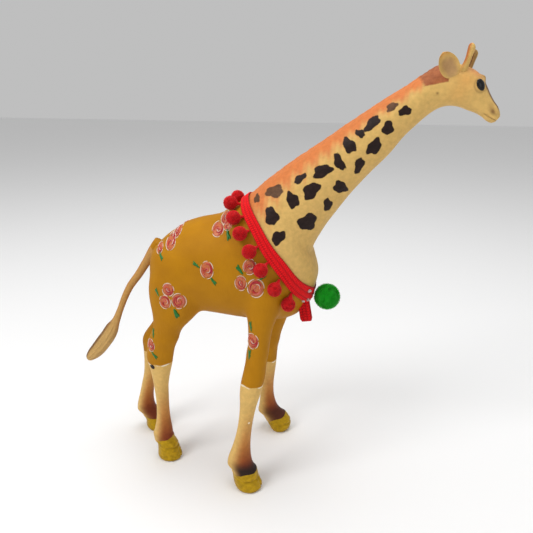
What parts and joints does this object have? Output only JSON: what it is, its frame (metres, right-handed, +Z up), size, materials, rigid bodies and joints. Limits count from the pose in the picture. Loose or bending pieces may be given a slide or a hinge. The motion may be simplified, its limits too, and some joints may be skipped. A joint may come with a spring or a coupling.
{
  "type": "giraffe figure",
  "caption": "Standing painted soft vinyl giraffe figure with a braided pom-pom collar, for display on a shelf.",
  "frame": {"origin": "centre of the bounding box at the level of the hoof soles", "axes": "+X towards the nose, +Y towards its left flank, +Z up"},
  "size_m": [0.2744, 0.0892, 0.2876],
  "materials": {
    "ochre_paint": "matt hand-painted ochre over vinyl",
    "cream_vinyl": "soft vinyl, airbrushed and spotted, gold paint on the hooves",
    "eye_gloss": "gloss black",
    "red_yarn": "red acrylic yarn",
    "green_yarn": "green acrylic yarn"
  },
  "bodies": {
    "figure": {"trunk": "ochre_paint", "leg_front_right": "cream_vinyl", "leg_front_left": "cream_vinyl", "leg_hind_right": "cream_vinyl", "leg_hind_left": "cream_vinyl", "tail": "cream_vinyl", "eye_right": "eye_gloss", "ear_right": "cream_vinyl", "horn_right": "cream_vinyl", "eye_left": "eye_gloss", "ear_left": "cream_vinyl", "horn_left": "cream_vinyl", "neck_and_head": "cream_vinyl", "braid": "red_yarn", "pompom_green": "green_yarn", "braid_end": "red_yarn"},
    "pompom_01_swing": {"pompom_01": "red_yarn", "pompom_01_stem": "red_yarn"},
    "pompom_02_swing": {"pompom_02": "red_yarn", "pompom_02_stem": "red_yarn"},
    "pompom_03_swing": {"pompom_03": "red_yarn", "pompom_03_stem": "red_yarn"},
    "pompom_04_swing": {"pompom_04": "red_yarn", "pompom_04_stem": "red_yarn"},
    "pompom_05_swing": {"pompom_05": "red_yarn", "pompom_05_stem": "red_yarn"},
    "pompom_06_swing": {"pompom_06": "red_yarn", "pompom_06_stem": "red_yarn"},
    "pompom_07_swing": {"pompom_07": "red_yarn", "pompom_07_stem": "red_yarn"},
    "pompom_08_swing": {"pompom_08": "red_yarn", "pompom_08_stem": "red_yarn"},
    "pompom_09_swing": {"pompom_09": "red_yarn", "pompom_09_stem": "red_yarn"},
    "pompom_10_swing": {"pompom_10": "red_yarn", "pompom_10_stem": "red_yarn"},
    "pompom_11_swing": {"pompom_11": "red_yarn", "pompom_11_stem": "red_yarn"},
    "pompom_12_swing": {"pompom_12": "red_yarn", "pompom_12_stem": "red_yarn"},
    "pompom_13_swing": {"pompom_13": "red_yarn", "pompom_13_stem": "red_yarn"},
    "pompom_14_swing": {"pompom_14": "red_yarn", "pompom_14_stem": "red_yarn"}
  },
  "joints": [
    {"name": "pompom_01_hinge", "type": "hinge", "parent": "figure", "child": "pompom_01_swing", "pos_m": [-0.01306, -0.00787, 0.19373], "axis": [-0.1648, 0.9563, 0.2415], "range_deg": [0, 60]},
    {"name": "pompom_02_hinge", "type": "hinge", "parent": "figure", "child": "pompom_02_swing", "pos_m": [-0.00892, -0.01695, 0.18764], "axis": [-0.3547, 0.7771, 0.5198], "range_deg": [0, 60]},
    {"name": "pompom_03_hinge", "type": "hinge", "parent": "figure", "child": "pompom_03_swing", "pos_m": [-0.00388, -0.02233, 0.18023], "axis": [-0.4673, 0.5592, 0.6848], "range_deg": [0, 60]},
    {"name": "pompom_04_hinge", "type": "hinge", "parent": "figure", "child": "pompom_04_swing", "pos_m": [0.00229, -0.02576, 0.17115], "axis": [-0.539, 0.2924, 0.7899], "range_deg": [0, 60]},
    {"name": "pompom_05_hinge", "type": "hinge", "parent": "figure", "child": "pompom_05_swing", "pos_m": [0.00905, -0.02693, 0.16121], "axis": [-0.5637, 0, 0.826], "range_deg": [0, 60]},
    {"name": "pompom_06_hinge", "type": "hinge", "parent": "figure", "child": "pompom_06_swing", "pos_m": [0.01658, -0.02547, 0.15015], "axis": [-0.5329, -0.3256, 0.781], "range_deg": [0, 60]},
    {"name": "pompom_07_hinge", "type": "hinge", "parent": "figure", "child": "pompom_07_swing", "pos_m": [0.0236, -0.02093, 0.13982], "axis": [-0.438, -0.6293, 0.6419], "range_deg": [0, 60]},
    {"name": "pompom_08_hinge", "type": "hinge", "parent": "figure", "child": "pompom_08_swing", "pos_m": [-0.01306, 0.00787, 0.19373], "axis": [0.1648, 0.9563, -0.2415], "range_deg": [0, 60]},
    {"name": "pompom_09_hinge", "type": "hinge", "parent": "figure", "child": "pompom_09_swing", "pos_m": [-0.00892, 0.01695, 0.18764], "axis": [0.3547, 0.7771, -0.5198], "range_deg": [0, 60]},
    {"name": "pompom_10_hinge", "type": "hinge", "parent": "figure", "child": "pompom_10_swing", "pos_m": [-0.00388, 0.02233, 0.18023], "axis": [0.4673, 0.5592, -0.6848], "range_deg": [0, 60]},
    {"name": "pompom_11_hinge", "type": "hinge", "parent": "figure", "child": "pompom_11_swing", "pos_m": [0.00229, 0.02576, 0.17115], "axis": [0.539, 0.2924, -0.7899], "range_deg": [0, 60]},
    {"name": "pompom_12_hinge", "type": "hinge", "parent": "figure", "child": "pompom_12_swing", "pos_m": [0.00905, 0.02693, 0.16121], "axis": [0.5637, 0, -0.826], "range_deg": [0, 60]},
    {"name": "pompom_13_hinge", "type": "hinge", "parent": "figure", "child": "pompom_13_swing", "pos_m": [0.01658, 0.02547, 0.15015], "axis": [0.5329, -0.3256, -0.781], "range_deg": [0, 60]},
    {"name": "pompom_14_hinge", "type": "hinge", "parent": "figure", "child": "pompom_14_swing", "pos_m": [0.0236, 0.02093, 0.13982], "axis": [0.438, -0.6293, -0.6419], "range_deg": [0, 60]}
  ]
}
